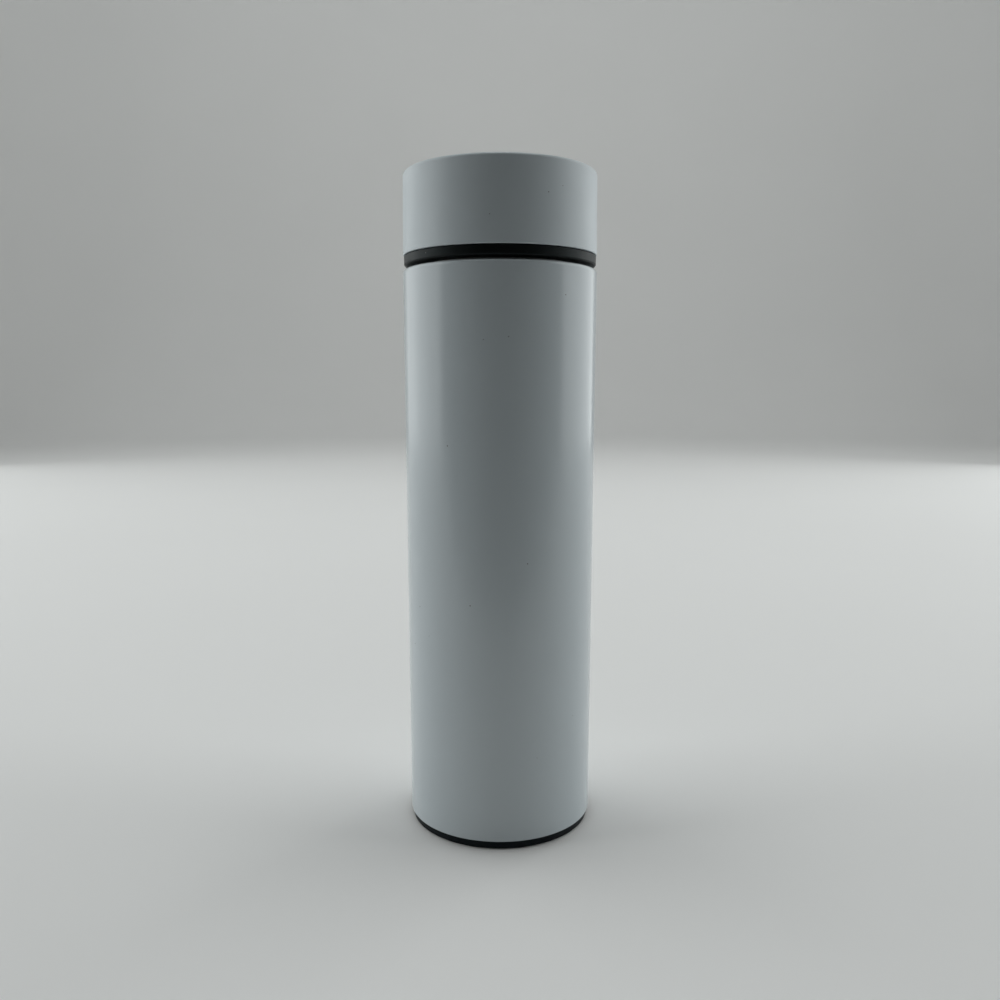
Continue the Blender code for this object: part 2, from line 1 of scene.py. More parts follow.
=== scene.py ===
# %% [markdown]
# # Dressing a vacuum flask
#
# A vacuum flask is two steel bottles, one inside the other, with nothing between them. The outer one is
# coated white, a black foot closes its skirt, and a screw lid with a temperature display closes the mouth.
#
# Its mechanical model already exists and is exact, but it is plain and a little faceted. Here each part
# that shows gets a fine skin of the same size, and every part gets a finish of its own. The model is loaded
# first, and nothing in it is moved.

from math import atan2, cos, pi, radians, sin, tau

import bmesh
import bpy
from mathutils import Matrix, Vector


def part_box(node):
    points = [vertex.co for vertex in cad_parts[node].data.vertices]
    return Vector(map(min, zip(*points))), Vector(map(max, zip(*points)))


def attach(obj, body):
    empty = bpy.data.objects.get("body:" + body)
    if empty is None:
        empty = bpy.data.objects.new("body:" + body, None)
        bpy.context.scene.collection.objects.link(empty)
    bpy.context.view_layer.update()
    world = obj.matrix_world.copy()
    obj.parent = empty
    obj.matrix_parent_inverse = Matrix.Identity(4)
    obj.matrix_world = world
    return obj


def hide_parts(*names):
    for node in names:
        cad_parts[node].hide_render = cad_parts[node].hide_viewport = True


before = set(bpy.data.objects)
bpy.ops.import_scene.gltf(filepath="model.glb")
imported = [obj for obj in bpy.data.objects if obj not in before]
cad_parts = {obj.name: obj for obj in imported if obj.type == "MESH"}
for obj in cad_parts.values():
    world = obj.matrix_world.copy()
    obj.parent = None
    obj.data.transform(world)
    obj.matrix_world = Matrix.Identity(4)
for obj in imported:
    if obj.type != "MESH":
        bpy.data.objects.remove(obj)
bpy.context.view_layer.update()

# %% [markdown]
# ## Sizes
#
# Each fine skin has to sit exactly where its plain part is, or the lid would clash when it turns. So the
# main sizes are read from the parts' own boxes, and only the small ones, such as an edge's rounding, are
# written down.

# %% Read the main sizes from the parts
mm = 0.001
gap = 0.3 * mm  # the air between two parts that touch on the real flask
sheet = 0.5 * mm  # the steel's thickness

shell_low, shell_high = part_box("outer_shell")
liner_low, liner_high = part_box("inner_liner")
_, base_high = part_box("base_cover")
cap_low, cap_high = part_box("cap_shell")
lens_low, lens_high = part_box("display_lens")
plug_low, plug_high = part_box("lid_plug")
gasket_low, gasket_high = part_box("lid_gasket")
probe_low, probe_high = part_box("sensor_probe")
seal_low, seal_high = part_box("probe_seal")
display_low, display_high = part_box("display_module")

body_radius = shell_high.x
mouth_top = shell_high.z
ring_top = cap_low.z - gap
ring_bottom = mouth_top + 1.1 * mm
neck_radius = 23.4 * mm  # inside the mouth
shank_radius = 21.2 * mm  # outside the plug
print("body radius:", round(body_radius / mm, 2), "mouth height:", round(mouth_top / mm, 2))

# %% [markdown]
# ## Turned outlines
#
# Nearly everything here is round, because it was spun, pressed or moulded round. Half of the section is
# enough to describe such a part. `soften` takes the corners of that half section and rolls each one over
# with its own radius, because a rolled edge is what catches the light on the real thing. It also lays a
# holding point just outside each roll, so that smooth shading stays in the roll and the flat walls stay
# flat.

# %% Round the corners of an outline
hold_share = 0.25  # how far outside the roll the holding point lies, as a share of the rounding


def soften(corners, steps=5):
    """Corners are (radius, height, rounding). An outline that starts on the axis is left open there."""
    points = []
    open_ends = corners[0][0] == 0
    for i, (r, z, rounding) in enumerate(corners):
        if rounding == 0 or (open_ends and i in (0, len(corners) - 1)):
            points.append((r, z))
            continue
        before = corners[i - 1]
        after = corners[(i + 1) % len(corners)]
        to_before = atan2(before[1] - z, before[0] - r)
        to_after = atan2(after[1] - z, after[0] - r)
        half = ((to_after - to_before + pi) % tau - pi) / 2
        side = 1 if half > 0 else -1
        reach = rounding / abs(sin(half))
        hold = reach * abs(cos(half)) + hold_share * rounding
        middle = to_before + half
        centre = (r + reach * cos(middle), z + reach * sin(middle))
        first = to_before - side * pi / 2
        sweep = side * (abs(2 * half) - pi)
        points.append((r + hold * cos(to_before), z + hold * sin(to_before)))
        for k in range(steps + 1):
            angle = first + sweep * k / steps
            points.append((centre[0] + rounding * cos(angle), centre[1] + rounding * sin(angle)))
        points.append((r + hold * cos(to_after), z + hold * sin(to_after)))
    return points


rolled = soften([(2, 0, 0), (5, 0, 1), (5, 4, 0)], 2)
print("one 1 mm roll:", [(round(r, 2), round(z, 2)) for r, z in rolled])

# %% [markdown]
# ## Spinning an outline
#
# A Screw modifier would spin an outline too. Building the rings by hand allows one thing more: a stretch of
# wall can be left out of the spin and filled with something else, which is how the screw threads are made
# further down. At the end, points that fall on each other are welded, so that every skin is closed.

# %% Spin an outline into a skin
flats_round = 180
small_flats_round = 96  # for small or plain turned pieces
weld_distance = 0.0005 * mm
crisp_fold = 35  # degrees


def tidy_skin(name, skin, crisp_above=crisp_fold):
    """Welds the skin, faces it outwards and shades it smooth, crisp where it folds more sharply."""
    bmesh.ops.remove_doubles(skin, verts=skin.verts, dist=weld_distance)
    bmesh.ops.recalc_face_normals(skin, faces=skin.faces)
    mesh = bpy.data.meshes.new(name)
    skin.to_mesh(mesh)
    skin.free()
    mesh.shade_smooth()
    mesh.set_sharp_from_angle(angle=radians(crisp_above))
    piece = bpy.data.objects.new(name, mesh)
    bpy.context.scene.collection.objects.link(piece)
    return piece


def add_face(skin, corners):
    """A face through the corners, or none where too few are left after repeats."""
    corners = list(dict.fromkeys(corners))
    if len(corners) > 2:
        skin.faces.new(corners)


def spin(name, outline, flats=flats_round, wall_between=None, crisp_above=crisp_fold):
    """A None in the outline leaves the stretch between its neighbours open, for `wall_between` to fill."""
    skin = bmesh.new()
    rings = []
    for point in outline:
        if point is None:
            rings.append(None)
        elif point[0] == 0:
            rings.append([skin.verts.new((0, 0, point[1]))])
        else:
            r, z = point
            angles = [tau * k / flats for k in range(flats)]
            rings.append([skin.verts.new((r * cos(a), r * sin(a), z)) for a in angles])
    if outline[0][0] > 0:
        rings.append(rings[0])
    for one, other in zip(rings, rings[1:]):
        if one is None or other is None:
            continue
        for k in range(flats):
            here = (one[k % len(one)], other[k % len(other)])
            after = (one[(k + 1) % len(one)], other[(k + 1) % len(other)])
            add_face(skin, (here[0], after[0], after[1], here[1]))
    if wall_between:
        wall_between(skin)
    return tidy_skin(name, skin, crisp_above)


def settle(piece, body, slot, *nodes):
    """The piece moves with a body and stands for the plain parts. The slot is not used."""
    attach(piece, body)
    if nodes:
        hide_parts(*nodes)
    print(piece.name, "has", len(piece.data.polygons), "faces")


print("a large ring's flats are", round(tau * body_radius / flats_round / mm, 2), "mm wide")

# %% [markdown]
# ## Making a finish
#
# A finish here is a Principled shader with a few texture nodes in front of it. All textures read the part's
# own coordinates in metres, so a pattern keeps its real size and moves with the part. Small helpers keep
# the recipes short: they start a finish, add a node and wire it, and name the few patterns that come back.

# %% Start a finish and add nodes to it
def new_finish(name, roughness, metallic=0.0):
    finish = bpy.data.materials.new(name)
    finish.use_nodes = True
    shader = finish.node_tree.nodes["Principled BSDF"]
    shader.inputs["Roughness"].default_value = roughness
    shader.inputs["Metallic"].default_value = metallic
    return finish, finish.node_tree, shader


def add_node(tree, kind, sockets=(), **settings):
    """`sockets` pairs an input's name or number with a value or with another node's output."""
    made = tree.nodes.new(kind)
    for key, value in settings.items():
        setattr(made, key, value)
    for key, value in dict(sockets).items():
        if isinstance(value, bpy.types.NodeSocket):
            tree.links.new(value, made.inputs[key])
        else:
            made.inputs[key].default_value = value
    return made


def own_coordinates(tree):
    return add_node(tree, "ShaderNodeTexCoord").outputs["Object"]


def cloud(tree, size, detail=2.0, where=None):
    """Soft noise whose blotches are about `size` metres across."""
    place = own_coordinates(tree) if where is None else where
    sockets = {"Vector": place, "Scale": 1 / size, "Detail": detail}
    return add_node(tree, "ShaderNodeTexNoise", sockets).outputs["Fac"]


def between(tree, factor, low, high):
    """Turns noise, which stays near a half, into a value from low to high."""
    sockets = {"Value": factor, "From Min": 0.3, "From Max": 0.7, "To Min": low, "To Max": high}
    return add_node(tree, "ShaderNodeMapRange", sockets).outputs["Result"]


def blend_colours(tree, factor, one, other):
    """One colour where the factor is 0, the other where it is 1. Either may be another node's output."""
    mix = add_node(tree, "ShaderNodeMix", data_type="RGBA")
    for key, value in ((0, factor), (6, one), (7, other)):
        if isinstance(value, bpy.types.NodeSocket):
            tree.links.new(value, mix.inputs[key])
        elif key == 0:
            mix.inputs[key].default_value = value
        else:
            mix.inputs[key].default_value = (*value, 1.0)
    return mix.outputs[2]


def relief(tree, shader, height, depth, strength=1.0):
    """Bumps the surface by a height pattern that is `depth` metres deep."""
    sockets = {"Height": height, "Distance": depth, "Strength": strength}
    bump = add_node(tree, "ShaderNodeBump", sockets)
    tree.links.new(bump.outputs["Normal"], shader.inputs["Normal"])


print("a pattern 1 mm wide has the scale", round(1 / mm))

# %% [markdown]
# ## The white coat
#
# The body is sprayed and baked, which leaves a hard gloss. Close up such a coat isn't perfect: it has a
# faint orange peel about a millimetre wide, its gloss drifts a little from hand to hand, and dust settles
# on it in tiny dark specks. A flat white would look like nothing at all, so all three are built from noise.

# %% Recipe for specks of dust
def dust(tree, spacing, speck, share):
    """1 on a few round specks, 0 elsewhere. `share` is how many of the cells hold one."""
    sockets = {"Vector": own_coordinates(tree), "Scale": 1 / spacing}
    cells = add_node(tree, "ShaderNodeTexVoronoi", sockets)
    near = {0: cells.outputs["Distance"], 1: speck / spacing}
    dot = add_node(tree, "ShaderNodeMath", near, operation="LESS_THAN")
    draw = add_node(tree, "ShaderNodeSeparateColor", {"Color": cells.outputs["Color"]})
    picked = {0: draw.outputs["Red"], 1: share}
    chosen = add_node(tree, "ShaderNodeMath", picked, operation="LESS_THAN")
    both = {0: dot.outputs[0], 1: chosen.outputs[0]}
    return add_node(tree, "ShaderNodeMath", both, operation="MULTIPLY").outputs[0]


speck_spacing = 6 * mm
speck_share = 0.5
print("specks in a cubic centimetre:", round(speck_share * (10 * mm / speck_spacing) ** 3, 1))

# %% Mix the body's coat
white = (0.595, 0.655, 0.685)
white_deep = (0.56, 0.62, 0.65)
dust_grey = (0.16, 0.15, 0.14)


def mix_gloss_white():
    finish, tree, shader = new_finish("gloss_white_coat", 0.2)
    tint = blend_colours(tree, cloud(tree, 60 * mm), white, white_deep)
    dusty = blend_colours(tree, dust(tree, speck_spacing, 0.2 * mm, speck_share), tint, dust_grey)
    tree.links.new(dusty, shader.inputs["Base Color"])
    tree.links.new(between(tree, cloud(tree, 18 * mm, 4), 0.16, 0.21), shader.inputs["Roughness"])
    relief(tree, shader, cloud(tree, 1.3 * mm), 0.004 * mm, 0.4)
    return finish


def mix_bare_steel(name, tone, rough_low, rough_high):
    """Steel polished on a lathe: fine lines run round the axis, on walls and on flats alike."""
    finish, tree, shader = new_finish(name, (rough_low + rough_high) / 2, 1.0)
    place = own_coordinates(tree)
    axes = add_node(tree, "ShaderNodeSeparateXYZ", {"Vector": place})
    flat = add_node(tree, "ShaderNodeCombineXYZ", {"X": axes.outputs["X"], "Y": axes.outputs["Y"]})
    from_axis = add_node(tree, "ShaderNodeVectorMath", {0: flat.outputs[0]}, operation="LENGTH")
    round_axis = add_node(
        tree, "ShaderNodeCombineXYZ", {"X": from_axis.outputs["Value"], "Y": axes.outputs["Z"]}
    )
    lines = cloud(tree, 0.18 * mm, 3, round_axis.outputs[0])
    hazy = cloud(tree, 14 * mm, 3)
    tree.links.new(between(tree, hazy, rough_low, rough_high), shader.inputs["Roughness"])
    lighter = tuple(min(1.0, part * 1.12) for part in tone)
    tree.links.new(blend_colours(tree, lines, tone, lighter), shader.inputs["Base Color"])
    relief(tree, shader, lines, 0.004 * mm, 0.6)
    shader.inputs["Anisotropic"].default_value = 0.5
    tangent = add_node(tree, "ShaderNodeTangent", direction_type="RADIAL", axis="Z")
    tree.links.new(tangent.outputs[0], shader.inputs["Tangent"])
    return finish


gloss_white = mix_gloss_white()
liner_steel = mix_bare_steel("polished_steel", (0.60, 0.59, 0.57), 0.16, 0.3)
print("first finishes:", gloss_white.name, liner_steel.name)

# %% [markdown]
# ## The outer wall
#
# The outer wall is one steel tube. Its top is rolled in to the mouth, and its foot is cut square with the
# edge just broken. The coat covers what a hand can reach. Inside, and under the foot, the steel is bare, so
# faces that look inwards take a second material.

# %% Spin the outer wall
shoulder_roll = 1.4 * mm
mouth_edge = 26.0 * mm  # where the coated wall meets the bare lip
facing_slack = 0.001 * mm
facing_down = -0.9  # a face whose normal points further down than this is under the wall


def make_outer_wall():
    inside = body_radius - sheet
    corners = [
        (mouth_edge + gap, mouth_top, 0.1 * mm),
        (body_radius, mouth_top, shoulder_roll),
        (body_radius, shell_low.z, 0.25 * mm),
        (inside, shell_low.z, 0),
        (inside, mouth_top - sheet, shoulder_roll - sheet),
        (mouth_edge + gap, mouth_top - sheet, 0),
    ]
    wall = spin("outer_wall", soften(corners, 8))
    wall.data.materials.append(gloss_white)
    wall.data.materials.append(liner_steel)
    for face in wall.data.polygons:
        outward = face.normal.x * face.center.x + face.normal.y * face.center.y
        looks_in = outward < -facing_slack or face.normal.z < facing_down
        face.material_index = 1 if looks_in else 0
    settle(wall, "vessel", "shell_coat", "outer_shell")


make_outer_wall()

# %% [markdown]
# ## The screw thread
#
# The lid has a two-start thread: two ridges, half a turn apart, that each climb eight millimetres in a
# turn. One could sweep a section along a helix, but then a seam shows where it meets the wall. Here the
# wall itself is a grid that climbs with the thread, and its points are pushed out where a ridge passes. The
# grid lines run along the ridges, so the flanks come out clean, as on rolled steel and moulded plastic.

# %% Build a wall that carries the thread
lead = 8 * mm  # climb in one turn
starts = 2
ridge_turns = 0.9
ridge_depth = 1.7 * mm
ridge_root = 0.95 * mm  # half its width at the wall
ridge_crest = 0.45 * mm  # half its width at the top
ridge_fade = 0.075  # turns over which an end sinks into the wall
ridge_fold = 60  # degrees; the thread's flanks stay smooth below it
liner_thread_foot = 181.6 * mm
plug_thread_foot = liner_thread_foot + lead / starts / 2
rows_per_turn = 48
spare_rows = 3  # so that the grid surely covers the wall at both ends


def smooth_step(part_way):
    """Rises from 0 to 1 in a soft S, and is flat before and after."""
    part_way = min(1, max(0, part_way))
    return part_way * part_way * (3 - 2 * part_way)


def ridge_share(turn, z, foot):
    """0 on the bare wall, 1 on a ridge's crest, with rounded flanks between."""
    share = 0.0
    for start in range(starts):
        along = (turn - start / starts) % 1
        off_centre = abs(z - foot - lead * along)
        flank = smooth_step((ridge_root - off_centre) / (ridge_root - ridge_crest))
        end = smooth_step(min(along, ridge_turns - along) / ridge_fade)
        share = max(share, flank * end)
    return share


def threaded_wall(radius, low, high, foot, stand_out):
    """Returns a builder of the wall. `stand_out` is negative where the thread is on the inside."""

    def build(skin):
        step = lead / rows_per_turn
        rows = int((high - low + lead) / step) + rows_per_turn + spare_rows
        start_height = low - lead + (foot - low) % step - step
        columns = []
        for k in range(flats_round):
            turn = k / flats_round
            column = []
            for i in range(rows):
                z = min(high, max(low, start_height + step * i + lead * turn))
                r = radius + stand_out * ridge_share(turn, z, foot)
                column.append(skin.verts.new((r * cos(tau * turn), r * sin(tau * turn), z)))
            columns.append(column)
        # A row climbs by one lead in a turn, so the last column meets the first a whole lead further up.
        for k in range(flats_round):
            here = columns[k]
            after = columns[(k + 1) % flats_round]
            lift = rows_per_turn if k + 1 == flats_round else 0
            for i in range(rows - 1 - lift):
                ring = (here[i], here[i + 1], after[i + 1 + lift], after[i + lift])
                heights = [corner.co.z for corner in ring]
                if max(heights) > min(heights):
                    add_face(skin, ring)

    return build


middle_turn = ridge_turns / 2
middle_height = liner_thread_foot + lead * middle_turn
crest_height = ridge_depth * ridge_share(middle_turn, middle_height, liner_thread_foot)
print("a ridge stands out by", round(crest_height / mm, 2), "mm")

# %% [markdown]
# ## The inner bottle
#
# The inner bottle is drawn from one sheet: a dished floor with a wide corner, a straight wall, a shoulder
# that sweeps in to the neck, and a lip that rolls out to meet the outer wall. The shoulder is an S-curve,
# so it is drawn with a cosine instead of corners.

# %% Spin the inner bottle
neck_bottom = 177.0 * mm
flare_bottom = 170.0 * mm
floor_corner = 6.0 * mm
floor_dish_inner = 7.0 * mm
floor_dish_outer = 18.6 * mm
floor_dish_slope = 0.6 * mm
floor_dish_depth = 0.25 * mm
lip_roll = 1.2 * mm


def shoulder(lower, upper, steps=14):
    """The sweep from the straight wall in to the neck, from the bottom up."""
    points = []
    for i in range(steps + 1):
        part_way = i / steps
        ease = (1 - cos(pi * part_way)) / 2
        height = flare_bottom + (neck_bottom - flare_bottom) * part_way
        points.append((lower + (upper - lower) * ease, height))
    return points


def make_inner_bottle():
    outside = liner_high.x
    inside = outside - sheet
    floor = liner_low.z + sheet
    dish = floor + floor_dish_depth
    inner_floor = soften(
        [
            (0, floor, 0),
            (floor_dish_inner, floor, 0.3 * mm),
            (floor_dish_inner + floor_dish_slope, dish, 0.3 * mm),
            (floor_dish_outer - floor_dish_slope, dish, 0.3 * mm),
            (floor_dish_outer, floor, 0.3 * mm),
            (inside, floor, floor_corner),
            (inside, flare_bottom, 0),
        ],
        8,
    )
    thread_top = mouth_top - lip_roll - 0.4 * mm
    lip = soften(
        [
            (neck_radius, thread_top, 0),
            (neck_radius, mouth_top, lip_roll),
            (mouth_edge, mouth_top, 0.1 * mm),
            (mouth_edge, mouth_top - sheet, 0),
            (neck_radius + sheet, mouth_top - sheet, lip_roll - sheet),
            (neck_radius + sheet, neck_bottom + 1 * mm, 0),
        ]
    )
    outer_floor = soften(
        [
            (outside, flare_bottom - 1 * mm, 0),
            (outside, liner_low.z, floor_corner + sheet),
            (0, liner_low.z, 0),
        ],
        8,
    )
    outline = inner_floor[:-1]
    outline += shoulder(inside, neck_radius)
    outline += [None]  # the threaded wall goes here
    outline += lip
    outline += reversed(shoulder(outside, neck_radius + sheet))
    outline += outer_floor

    thread = threaded_wall(neck_radius, neck_bottom, thread_top, liner_thread_foot, -ridge_depth)
    bottle = spin("inner_bottle", outline, wall_between=thread, crisp_above=ridge_fold)
    bottle.data.materials.append(liner_steel)
    settle(bottle, "vessel", "liner_steel", "inner_liner")


make_inner_bottle()

# %% [markdown]
# ## Black moulded plastic
#
# The foot and the plug are moulded from black polypropylene. The mould is sandblasted, so the plastic has
# an even grain a sixth of a millimetre wide, and its shine varies where the melt flowed. It mirrors little,
# and what it mirrors turns slightly blue, which keeps the thin bands deep and dark next to the white.

# %% Mix the black plastic
def mix_black_plastic(name, tone, rough_low, rough_high):
    finish, tree, shader = new_finish(name, (rough_low + rough_high) / 2)
    lighter = tuple(part * 1.6 for part in tone)
    tint = blend_colours(tree, cloud(tree, 9 * mm, 4), tone, lighter)
    specks = dust(tree, 4 * mm, 0.15 * mm, speck_share)
    speckled = blend_colours(tree, specks, tint, (0.2, 0.2, 0.19))
    tree.links.new(speckled, shader.inputs["Base Color"])
    shine = between(tree, cloud(tree, 6 * mm, 3), rough_low, rough_high)
    tree.links.new(shine, shader.inputs["Roughness"])
    relief(tree, shader, cloud(tree, 0.16 * mm, 1), 0.006 * mm, 0.5)
    shader.inputs["Specular IOR Level"].default_value = 0.16
    shader.inputs["Specular Tint"].default_value = (0.78, 0.95, 1.0, 1.0)
    return finish


foot_black = mix_black_plastic("foot_plastic", (0.003, 0.0045, 0.006), 0.42, 0.54)
plug_black = mix_black_plastic("plug_plastic", (0.0045, 0.0052, 0.005), 0.4, 0.52)
print("black plastics:", foot_black.name, plug_black.name)

# %% [markdown]
# ## The foot
#
# The foot is a shallow black dish pressed into the skirt. From the side only a thin band shows, set in a
# little from the body's line. Underneath it stands on a flat ring, with a recessed middle that carries a
# few moulded rings and the small dimple where the plastic entered the mould.

# %% Spin the foot
recess = 0.8 * mm
foot_inner = 26.5 * mm  # the standing ring's inner edge
rib = 0.3 * mm
rib_radii = (21.0 * mm, 14.0 * mm)
gate_radius = 3.0 * mm  # the dimple where the plastic entered
gate_depth = 0.4 * mm
gate_stub = 0.7 * mm


def make_foot():
    ledge = shell_low.z - gap
    spigot = body_radius - 2 * sheet - 2.5 * gap
    spigot_wall = 1.8 * mm
    floor_top = 2.4 * mm
    corners = [
        (0, floor_top, 0),
        (spigot - spigot_wall, floor_top, 0.3 * mm),
        (spigot - spigot_wall, base_high.z, 0.2 * mm),
        (spigot, base_high.z, 0.3 * mm),
        (spigot, ledge, 0),
        (base_high.x, ledge, 0.15 * mm),
        (base_high.x, 0, 0.5 * mm),
        (foot_inner, 0, 0.2 * mm),
        (foot_inner - recess, recess, 0.2 * mm),
    ]
    for rib_radius in rib_radii:
        corners += [
            (rib_radius + 2 * rib, recess, 0.1 * mm),
            (rib_radius + rib, recess - rib, 0.1 * mm),
            (rib_radius - rib, recess - rib, 0.1 * mm),
            (rib_radius - 2 * rib, recess, 0.1 * mm),
        ]
    corners += [
        (gate_radius, recess, 0.1 * mm),
        (gate_radius - gate_depth, recess + gate_depth, 0.1 * mm),
        (gate_stub, recess + gate_depth, 0.05 * mm),
        (gate_stub - 0.2 * mm, recess + 0.1 * mm, 0.05 * mm),
        (0, recess + 0.1 * mm, 0),
    ]
    foot = spin("foot", soften(corners))
    foot.data.materials.append(foot_black)
    settle(foot, "vessel", "base_plastic", "base_cover")


make_foot()

# %% [markdown]
# ## The cap
#
# The cap is white plastic with a finer, silkier surface than the body, so it shows a soft gradient where
# the body shows reflections. Its wall leans in by a third of a millimetre so that it leaves the mould, and
# its top edge is rolled over one millimetre, which draws the fine bright line round the top.

# %% Mix the cap's plastic
def mix_satin_white():
    finish, tree, shader = new_finish("satin_white_plastic", 0.42)
    tint = blend_colours(tree, cloud(tree, 35 * mm), white, white_deep)
    dusty = blend_colours(tree, dust(tree, speck_spacing, 0.18 * mm, speck_share), tint, dust_grey)
    tree.links.new(dusty, shader.inputs["Base Color"])
    tree.links.new(between(tree, cloud(tree, 12 * mm, 3), 0.38, 0.46), shader.inputs["Roughness"])
    relief(tree, shader, cloud(tree, 0.12 * mm, 1), 0.003 * mm, 0.5)
    return finish


satin_white = mix_satin_white()
print("the cap's finish:", satin_white.name)

# %% Spin the cap and open its window
draft = 0.3 * mm  # how far the wall leans in over its height
crown_radius = cap_high.x - draft
cap_wall = 1.4 * mm
roof = 1.1 * mm
crown_roll = 1.1 * mm
window_room = 0.5 * mm


def cut_window(piece, low, high, room):
    """Cuts a square hole as large as a box, with `room` more on each side, or less if it is negative."""
    cutter = bmesh.new()
    bmesh.ops.create_cube(cutter, size=1)
    size = (high.x - low.x + 2 * room, high.y - low.y + 2 * room, high.z - low.z)
    bmesh.ops.scale(cutter, vec=size, verts=cutter.verts)
    middle = (low + high) / 2
    bmesh.ops.translate(cutter, vec=(middle.x, middle.y, high.z), verts=cutter.verts)
    tool = tidy_skin(piece.name + "_cutter", cutter)
    opening = piece.modifiers.new("window", "BOOLEAN")
    opening.object = tool
    opening.operation = "DIFFERENCE"
    graph = bpy.context.evaluated_depsgraph_get()
    cut = bpy.data.meshes.new_from_object(piece.evaluated_get(graph))
    piece.modifiers.clear()
    piece.data = cut
    bpy.data.objects.remove(tool)


def make_cap():
    seat = lens_low.z - gap
    recess = lens_high.x + gap
    under_roof = seat - roof
    corners = [
        (0, seat, 0),
        (recess, seat, 0.15 * mm),
        (recess, cap_high.z, 0.15 * mm),
        (crown_radius, cap_high.z, crown_roll),
        (cap_high.x, cap_low.z, 0.3 * mm),
        (cap_high.x - cap_wall, cap_low.z, 0.2 * mm),
        (crown_radius - cap_wall, under_roof, 1.0 * mm),
        (0, under_roof, 0),
    ]
    cap = spin("cap", soften(corners, 8))
    cut_window(cap, display_low, display_high, window_room)
    cap.data.materials.append(satin_white)
    settle(cap, "lid", "cap_plastic", "cap_shell")


make_cap()

# %% [markdown]
# ## The display under its lens
#
# The top is a disc of smoked acrylic that stands a hair proud of the cap. Its back is printed black except
# for a window, and behind the window are seven-segment digits. Unlit, they are only a shade lighter than
# the dark around them. So the lens is really see-through here, the print is a thin sheet with a hole in it,
# and each segment is a small raised bar on the module.

# %% Mix the smoked acrylic, the black print and the segments
def mix_smoked_acrylic():
    finish, tree, shader = new_finish("smoked_acrylic", 0.04)
    smear = between(tree, cloud(tree, 22 * mm, 5), 0.02, 0.09)
    tree.links.new(smear, shader.inputs["Roughness"])
    tint = blend_colours(tree, cloud(tree, 40 * mm), (0.09, 0.092, 0.095), (0.075, 0.077, 0.08))
    tree.links.new(tint, shader.inputs["Base Color"])
    shader.inputs["Transmission Weight"].default_value = 1.0
    shader.inputs["IOR"].default_value = 1.49
    return finish


def mix_black_print():
    finish, tree, shader = new_finish("black_print", 0.35)
    tint = blend_colours(tree, cloud(tree, 3 * mm, 4), (0.004, 0.004, 0.005), (0.008, 0.008, 0.009))
    tree.links.new(tint, shader.inputs["Base Color"])
    relief(tree, shader, cloud(tree, 0.2 * mm, 1), 0.002 * mm, 0.4)
    return finish


def mix_segment_grey():
    finish, tree, shader = new_finish("segment_resin", 0.5)
    tint = blend_colours(tree, cloud(tree, 0.6 * mm, 3), (0.42, 0.43, 0.42), (0.5, 0.51, 0.5))
    tree.links.new(tint, shader.inputs["Base Color"])
    shader.inputs["Subsurface Weight"].default_value = 0.2
    shader.inputs["Subsurface Radius"].default_value = (0.4 * mm, 0.4 * mm, 0.4 * mm)
    return finish


smoked_acrylic = mix_smoked_acrylic()
black_print = mix_black_print()
segment_grey = mix_segment_grey()
print("the display's finishes:", smoked_acrylic.name, black_print.name, segment_grey.name)

# %% Spin the lens and lay the print behind it
ink_gap = 0.05 * mm
ink_thickness = 0.1 * mm
ink_margin = 0.2 * mm  # bare acrylic round the print
ink_overlap = 0.8 * mm  # how far the print covers the module's edge


def make_lens():
    corners = [
        (0, lens_high.z, 0),
        (lens_high.x, lens_high.z, 0.4 * mm),
        (lens_high.x, lens_low.z, 0.1 * mm),
        (0, lens_low.z, 0),
    ]
    lens = spin("lens", soften(corners, 6))
    lens.data.materials.append(smoked_acrylic)
    settle(lens, "lid", "lens", "display_lens")


def make_print():
    top = lens_low.z - ink_gap
    bottom = top - ink_thickness
    edge = lens_high.x - ink_margin
    sheet_of_ink = spin("print", [(0, top), (edge, top), (edge, bottom), (0, bottom)])
    cut_window(sheet_of_ink, display_low, display_high, -ink_overlap)
    sheet_of_ink.data.materials.append(black_print)
    settle(sheet_of_ink, "lid", "lens")


make_lens()
make_print()

# %% Raise the seven-segment digits
digit_height = 9.0 * mm
digit_width = 5.0 * mm
bar = 1.1 * mm  # a segment's width
split = 0.18 * mm  # between two segments
slant = radians(6)
digit_lift = 0.25 * mm
digit_sink = 0.05 * mm  # into the module's face
digit_places = (-6.6 * mm, 0.2 * mm, 7.4 * mm)
digit_letters = ("abcdefg", "abcdefg", "adef")  # two full figures and a letter for degrees


def add_segment(skin, start, end, z):
    """A bar with pointed ends, raised from the module's face."""
    along = ((end[0] - start[0]), (end[1] - start[1]))
    length = (along[0] ** 2 + along[1] ** 2) ** 0.5
    ux, uy = along[0] / length, along[1] / length
    half = bar / 2
    cut = half + split
    shape = [
        (split, 0),
        (cut, half),
        (length - cut, half),
        (length - split, 0),
        (length - cut, -half),
        (cut, -half),
    ]
    rings = []
    for level in (z, z + digit_lift):
        ring = []
        for a, b in shape:
            x = start[0] + ux * a - uy * b
            y = start[1] + uy * a + ux * b
            ring.append(skin.verts.new((x + y * sin(slant), y, level)))
        rings.append(ring)
    low, high = rings
    skin.faces.new(low)
    skin.faces.new(high)
    for i in range(6):
        j = (i + 1) % 6
        skin.faces.new((low[i], low[j], high[j], high[i]))


